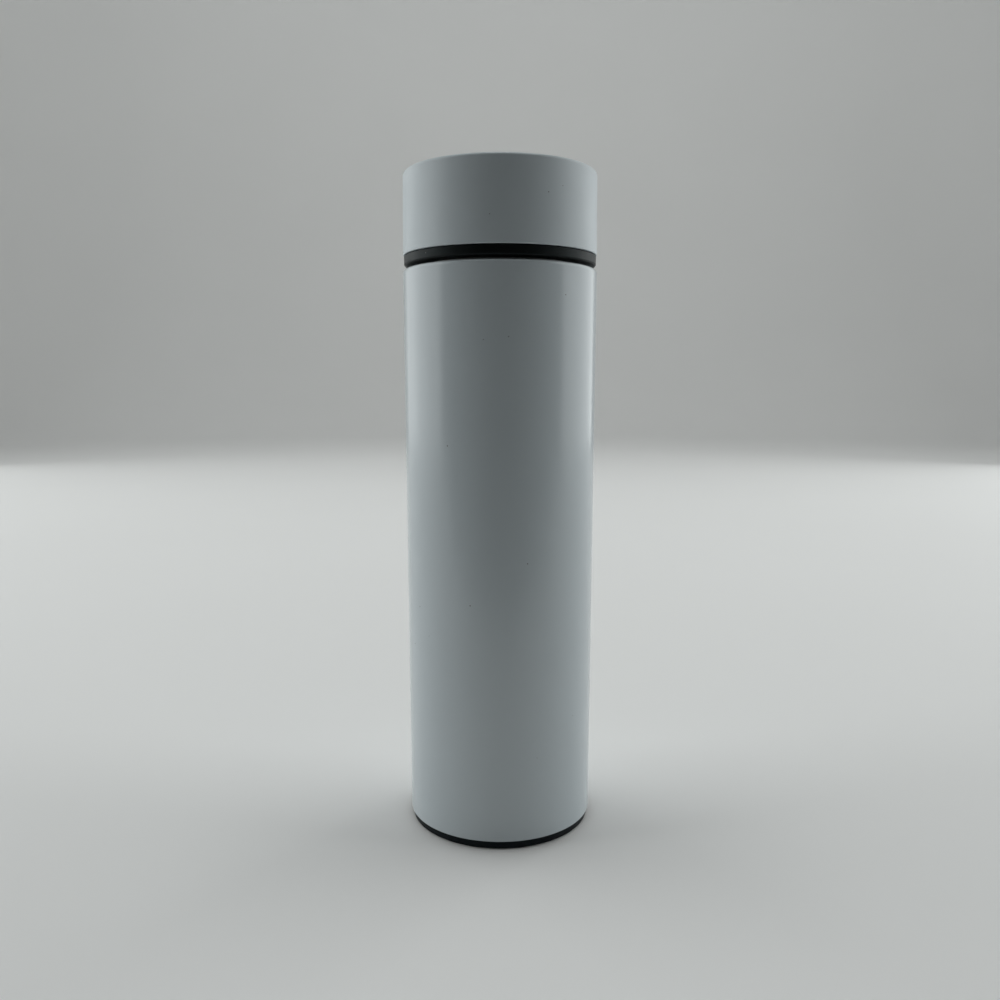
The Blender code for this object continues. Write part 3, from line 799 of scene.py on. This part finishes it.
def add_digit(skin, middle_x, z, letters):
    """The letters name the segments that this place has, in the usual order from the top round."""
    left, right = middle_x - digit_width / 2, middle_x + digit_width / 2
    top, bottom = digit_height / 2, -digit_height / 2
    ends = {
        "a": ((left, top), (right, top)),
        "b": ((right, top), (right, 0)),
        "c": ((right, 0), (right, bottom)),
        "d": ((left, bottom), (right, bottom)),
        "e": ((left, 0), (left, bottom)),
        "f": ((left, top), (left, 0)),
        "g": ((left, 0), (right, 0)),
    }
    for letter in letters:
        add_segment(skin, *ends[letter], z)


def make_digits():
    skin = bmesh.new()
    face = display_high.z - digit_sink
    for place, letters in zip(digit_places, digit_letters):
        add_digit(skin, place, face, letters)
    digits = tidy_skin("digits", skin)
    digits.data.materials.append(segment_grey)
    settle(digits, "lid", "display")


make_digits()

# %% [markdown]
# ## The plug
#
# The plug is one black moulding. Its flange is the dark ring that shows between the cap and the body, and a
# collar above the flange carries the cap. Below, the shank has the ridges that mate with the bottle's, and
# its underside steps in to the probe.

# %% Spin the plug
plug_wall = 1.8 * mm
plug_floor = 1.6 * mm
probe_bore = 2.9 * mm
underside_ring = (9.0 * mm, 10.6 * mm)  # a groove moulded round the probe
groove = 0.3 * mm


def make_plug():
    collar = cap_high.x - cap_wall - 1.3 * gap
    collar_wall = 1.4 * mm
    seat = gasket_high.z + gap
    seat_radius = gasket_high.x + gap
    inside = shank_radius - plug_wall
    floor_top = plug_low.z + plug_floor
    ring_inner, ring_outer = underside_ring
    thread_top = gasket_low.z - 0.4 * mm
    thread_bottom = plug_low.z + 1.2 * mm
    outline = soften(
        [
            (shank_radius, thread_top, 0),
            (shank_radius, seat, 0.2 * mm),
            (seat_radius, seat, 0.2 * mm),
            (seat_radius, ring_bottom, 0.15 * mm),
            (plug_high.x - 0.4 * mm, ring_bottom, 0.15 * mm),
            (plug_high.x, ring_bottom + 0.4 * mm, 0.15 * mm),
            (plug_high.x, ring_top, 0.2 * mm),
            (collar, ring_top, 0),
            (collar, plug_high.z, 0.3 * mm),
            (collar - collar_wall, plug_high.z, 0.3 * mm),
            (collar - collar_wall, ring_top, 0.4 * mm),
            (inside, ring_top, 0.3 * mm),
            (inside, floor_top, 0.5 * mm),
            (probe_bore, floor_top, 0),
            (probe_bore, plug_low.z, 0.1 * mm),
            (ring_inner, plug_low.z, 0.1 * mm),
            (ring_inner + groove, plug_low.z + groove, 0.1 * mm),
            (ring_outer - groove, plug_low.z + groove, 0.1 * mm),
            (ring_outer, plug_low.z, 0.1 * mm),
            (shank_radius, plug_low.z, 0.8 * mm),
            (shank_radius, thread_bottom, 0),
        ]
    )
    thread = threaded_wall(shank_radius, thread_bottom, thread_top, plug_thread_foot, ridge_depth)
    plug = spin("plug", outline + [None], wall_between=thread, crisp_above=ridge_fold)
    plug.data.materials.append(plug_black)
    settle(plug, "lid", "plug_plastic", "lid_plug")


make_plug()

# %% [markdown]
# ## Seal and probe
#
# A ring of milky silicone closes the gap between the flange and the bottle's lip. It is soft and a little
# see-through, so light enters and spreads inside it. The probe is a deep-drawn steel thimble, polished,
# clamped through the plug's floor with a small silicone washer.

# %% Mix the silicone and the probe's steel
def mix_silicone():
    finish, tree, shader = new_finish("milky_silicone", 0.48)
    tint = blend_colours(tree, cloud(tree, 5 * mm, 3), (0.66, 0.67, 0.66), (0.74, 0.75, 0.74))
    tree.links.new(tint, shader.inputs["Base Color"])
    tree.links.new(between(tree, cloud(tree, 2 * mm, 3), 0.42, 0.56), shader.inputs["Roughness"])
    relief(tree, shader, cloud(tree, 0.4 * mm, 2), 0.004 * mm, 0.5)
    shader.inputs["Subsurface Weight"].default_value = 0.35
    shader.inputs["Subsurface Radius"].default_value = (1.2 * mm, 1.2 * mm, 1.2 * mm)
    return finish


silicone = mix_silicone()
probe_steel = mix_bare_steel("drawn_steel", (0.63, 0.62, 0.6), 0.1, 0.2)
print("the seal's and the probe's finishes:", silicone.name, probe_steel.name)

# %% Spin the seal, the washer and the probe
seal_land = 1.6 * mm  # the flat outer part that presses on the lip
seal_relief = 0.3 * mm  # the step inside it
washer_inner = 2.8 * mm
probe_tube = 2.5 * mm
probe_wall = 0.6 * mm
probe_flange = 0.9 * mm


def make_gasket():
    inner = shank_radius + gap
    land_edge = gasket_high.x - seal_land
    corners = [
        (inner, gasket_high.z, 0.2 * mm),
        (gasket_high.x, gasket_high.z, 0.5 * mm),
        (gasket_high.x, gasket_low.z, 0.5 * mm),
        (land_edge, gasket_low.z, 0.1 * mm),
        (land_edge - seal_relief, gasket_low.z + seal_relief, 0.1 * mm),
        (inner + 0.6 * mm, gasket_low.z + seal_relief, 0.1 * mm),
        (inner, gasket_low.z + 0.6 * mm, 0.1 * mm),
    ]
    gasket = spin("gasket", soften(corners))
    gasket.data.materials.append(silicone)
    settle(gasket, "lid_seal", "gasket_silicone", "lid_gasket")


def make_washer():
    corners = [
        (washer_inner, seal_high.z, 0),
        (seal_high.x, seal_high.z, 0.15 * mm),
        (seal_high.x, seal_low.z, 0.15 * mm),
        (washer_inner, seal_low.z, 0),
    ]
    washer = spin("washer", soften(corners), small_flats_round)
    washer.data.materials.append(silicone)
    settle(washer, "lid", "seal_silicone", "probe_seal")


def make_probe():
    bore = probe_tube - probe_wall
    tip = probe_low.z + probe_wall
    flange_top = seal_low.z - gap
    flange_bottom = flange_top - probe_flange
    outline = soften(
        [
            (0, tip, 0),
            (bore, tip, 1.6 * mm),
            (bore, probe_high.z, 0.1 * mm),
            (probe_tube, probe_high.z, 0.1 * mm),
            (probe_tube, flange_top, 0),
            (probe_high.x, flange_top, 0.1 * mm),
            (probe_high.x, flange_bottom, 0.25 * mm),
            (probe_tube, flange_bottom, 0.2 * mm),
            (probe_tube, probe_low.z, 2.2 * mm),
            (0, probe_low.z, 0),
        ],
        8,
    )
    probe = spin("probe", outline, small_flats_round)
    probe.data.materials.append(probe_steel)
    settle(probe, "lid", "probe_steel", "sensor_probe")


make_gasket()
make_washer()
make_probe()

# %% [markdown]
# ## What nobody sees
#
# The parts between the walls and inside the cap keep their plain shape, because a sealed flask never shows
# them. They still get their own finish, so that a cut-open view makes sense: crinkled copper foil, green
# board with its tracks, white foam, plated steel.

# %% Mix the hidden finishes
def mix_tinted(name, tones, size, roughness, metallic=0.0, grain=None, depth=0.01 * mm):
    """Two near colours in soft blotches, with a fine relief where `grain` gives its size."""
    finish, tree, shader = new_finish(name, roughness, metallic)
    tree.links.new(blend_colours(tree, cloud(tree, size, 3), *tones), shader.inputs["Base Color"])
    if grain:
        relief(tree, shader, cloud(tree, grain, 2), depth, 0.7)
    return finish


def mix_board():
    """Green lacquer over copper tracks that run straight and turn at right angles."""
    finish, tree, shader = new_finish("green_board", 0.4)
    tracks = {
        "Vector": own_coordinates(tree),
        "Color1": (1, 1, 1, 1),
        "Color2": (0.7, 0.7, 0.7, 1),
        "Mortar": (0, 0, 0, 1),
        "Scale": 60.0,
        "Mortar Size": 0.03,
    }
    brick = add_node(tree, "ShaderNodeTexBrick", tracks)
    tint = blend_colours(tree, brick.outputs["Fac"], (0.012, 0.13, 0.05), (0.05, 0.26, 0.1))
    tree.links.new(tint, shader.inputs["Base Color"])
    relief(tree, shader, brick.outputs["Fac"], 0.03 * mm, 0.5)
    return finish


pressed_steel = mix_bare_steel("pressed_steel", (0.56, 0.56, 0.55), 0.28, 0.42)
plated_steel = mix_bare_steel("plated_steel", (0.66, 0.65, 0.63), 0.15, 0.25)
spring_steel = mix_bare_steel("spring_steel", (0.62, 0.6, 0.57), 0.2, 0.3)
green_board = mix_board()

glass_tones = ((0.10, 0.11, 0.12), (0.16, 0.17, 0.18))
powder_tones = ((0.24, 0.24, 0.25), (0.36, 0.36, 0.37))
copper_tones = ((0.70, 0.34, 0.20), (0.80, 0.44, 0.28))
foam_tones = ((0.82, 0.82, 0.80), (0.90, 0.90, 0.88))
housing_tones = ((0.012, 0.012, 0.014), (0.02, 0.02, 0.022))
epoxy_tones = ((0.02, 0.02, 0.02), (0.04, 0.04, 0.04))
red_tones = ((0.55, 0.02, 0.02), (0.65, 0.05, 0.04))
black_tones = ((0.015, 0.015, 0.015), (0.03, 0.03, 0.03))

solder_glass = mix_tinted("solder_glass", glass_tones, 2 * mm, 0.2, 0.0, 0.8 * mm, 0.02 * mm)
getter_powder = mix_tinted("getter_powder", powder_tones, 0.5 * mm, 0.7, 0.8, 0.15 * mm)
copper_foil = mix_tinted("copper_foil", copper_tones, 6 * mm, 0.3, 1.0, 3 * mm, 0.2 * mm)
white_foam = mix_tinted("white_foam", foam_tones, 2 * mm, 0.9, 0.0, 0.9 * mm, 0.25 * mm)
display_housing = mix_tinted("display_housing", housing_tones, 3 * mm, 0.45, 0.0, 0.2 * mm)
epoxy_bead = mix_tinted("epoxy_bead", epoxy_tones, 0.6 * mm, 0.3, 0.0, 0.4 * mm)
lead_red = mix_tinted("lead_red", red_tones, 1 * mm, 0.4, 0.0, 0.3 * mm)
lead_black = mix_tinted("lead_black", black_tones, 1 * mm, 0.4, 0.0, 0.3 * mm)

# %% Dress the hidden parts
hidden_finishes = {
    "outer_base": pressed_steel,
    "vacuum_seal": solder_glass,
    "getter": getter_powder,
    "radiation_foil": copper_foil,
    "plug_insulation": white_foam,
    "probe_nut": plated_steel,
    "thermistor": epoxy_bead,
    "sensor_lead_1": lead_red,
    "sensor_lead_2": lead_black,
    "display_module": display_housing,
    "circuit_board": green_board,
    "board_screw_1": plated_steel,
    "board_screw_2": plated_steel,
    "board_screw_3": plated_steel,
    "touch_spring": spring_steel,
    "battery": plated_steel,
    "battery_clip": spring_steel,
}
for name, finish in hidden_finishes.items():
    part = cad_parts[name]
    part.data.materials.clear()
    part.data.materials.append(finish)
print("hidden parts dressed:", len(hidden_finishes))

# %% [markdown]
# ## A plain studio
#
# The flask stands on a pale sweep. A glossy cylinder is lit by what it mirrors, so the main light comes
# from two tall soft boxes at its sides, and two narrow ones further back draw its rims. A box above lights
# the floor behind it, a strip lays a thin line along its top edge, and a wide box lifts the backdrop. A
# black flag stands in front, behind the camera, and keeps the middle dark. The flag reaches down to the
# floor, so its reflection ends at the height where the pale floor begins.

# %% Lay the sweep
def mix_paper():
    finish, tree, shader = new_finish("pale_paper", 0.8)
    tint = blend_colours(tree, cloud(tree, 400 * mm), (0.78, 0.78, 0.77), (0.81, 0.81, 0.80))
    tree.links.new(tint, shader.inputs["Base Color"])
    relief(tree, shader, cloud(tree, 0.8 * mm, 2), 0.02 * mm, 0.2)
    return finish


def make_sweep():
    """A round floor that curves up into a wall all the way round."""
    edge = 3.6
    curve = 1.2
    wall_top = 3.2
    board = 0.02
    fold = 60  # degrees
    steps = 16
    outline = [(0, 0), (0.4, 0), (1.2, 0)]
    for k in range(steps + 1):
        angle = pi / 2 * k / steps
        outline.append((edge - curve + curve * sin(angle), curve - curve * cos(angle)))
    outline += [(edge, wall_top), (edge + board, wall_top), (edge + board, -board), (0, -board)]
    sweep = spin("sweep", outline, small_flats_round, crisp_above=fold)
    sweep.data.materials.append(mix_paper())


make_sweep()

# %% Hang the lights
def hang_light(name, place, aim, size, power):
    """A flat lamp that shines from `place` towards `aim`. Its size is width, then height."""
    lamp = bpy.data.lights.new(name, "AREA")
    lamp.shape = "RECTANGLE"
    lamp.size, lamp.size_y = size
    lamp.energy = power
    lamp.color = lamp_tint
    light = bpy.data.objects.new(name, lamp)
    bpy.context.scene.collection.objects.link(light)
    light.location = place
    direction = Vector(aim) - Vector(place)
    light.rotation_euler = direction.to_track_quat("-Z", "Y").to_euler()
    light.visible_camera = False


lamp_tint = (0.97, 1.0, 1.0)
side_x = 1.4
left_y, right_y = 0.35, 0.42
rim_x, rim_y = 1.2, 1.3
box_height = 2.18
rim_size = (0.46, box_height)
half_up = 0.02 + box_height / 2  # the boxes end just above the floor
hang_light("side_box_left", (-side_x, left_y, half_up), (0, left_y, half_up), (1.6, box_height), 16.0)
hang_light("side_box_right", (side_x, right_y, half_up), (0, right_y, half_up), (1.48, box_height), 14.3)
hang_light("rim_box_left", (-rim_x, rim_y, half_up), (0, 0, half_up), rim_size, 3.0)
hang_light("rim_box_right", (rim_x, rim_y, half_up), (0, 0, half_up), rim_size, 4.5)
hang_light("top_box", (0, 0.4, 2.0), (0, 0.4, 0), (1.3, 0.7), 8.0)
hang_light("front_strip", (0, -0.09, 1.2), (0, -0.09, 0), (0.9, 0.035), 0.8)
hang_light("backdrop_box", (0, 1.5, 2.5), (0, 3.6, 0.8), (3.0, 0.5), 18.0)

# %% Stand the flag and darken the room
flag_width = 1.2
flag_height = 0.8
flag_y = -0.345
room_glow = 0.01


def make_flag():
    skin = bmesh.new()
    bmesh.ops.create_grid(skin, x_segments=1, y_segments=1, size=0.5)
    flag = tidy_skin("flag", skin)
    flag.rotation_euler = (pi / 2, 0, 0)
    flag.scale = (flag_width, flag_height, 1.0)
    flag.location = (0, flag_y, flag_height / 2)
    flag.visible_camera = False
    flag.visible_shadow = False  # it darkens what is mirrored, and leaves the floor alone
    finish, tree, shader = new_finish("black_cloth", 0.95)
    tint = blend_colours(tree, cloud(tree, 30 * mm), (0.01, 0.01, 0.01), (0.02, 0.02, 0.02))
    tree.links.new(tint, shader.inputs["Base Color"])
    flag.data.materials.append(finish)


make_flag()

world = bpy.data.worlds.new("studio")
bpy.context.scene.world = world
world.use_nodes = True
room = world.node_tree.nodes["Background"]
room.inputs["Color"].default_value = (0.95, 0.98, 1.0, 1)
room.inputs["Strength"].default_value = room_glow
print("flag:", flag_width, "by", flag_height, "m")

# %% [markdown]
# ## The camera
#
# The camera stands close, about five flask widths away and two thirds of the way up, and looks slightly
# down. The picture is framed by shifting the lens, not by tilting further, so that the flask's sides keep
# their taper.

# %% Stand the camera
look_down = 9.8  # degrees
camera_place = (0, -0.3201, 0.1549)
camera_data = bpy.data.cameras.new("camera")
camera_data.sensor_width = 36.0
camera_data.lens = 33.0
camera_data.shift_y = 0.0431
camera = bpy.data.objects.new("camera", camera_data)
bpy.context.scene.collection.objects.link(camera)
camera.location = camera_place
camera.rotation_euler = (radians(90 - look_down), 0, 0)
bpy.context.scene.camera = camera
bpy.context.scene.view_settings.view_transform = "Standard"
print("camera height in mm:", round(camera_place[2] / mm, 1))
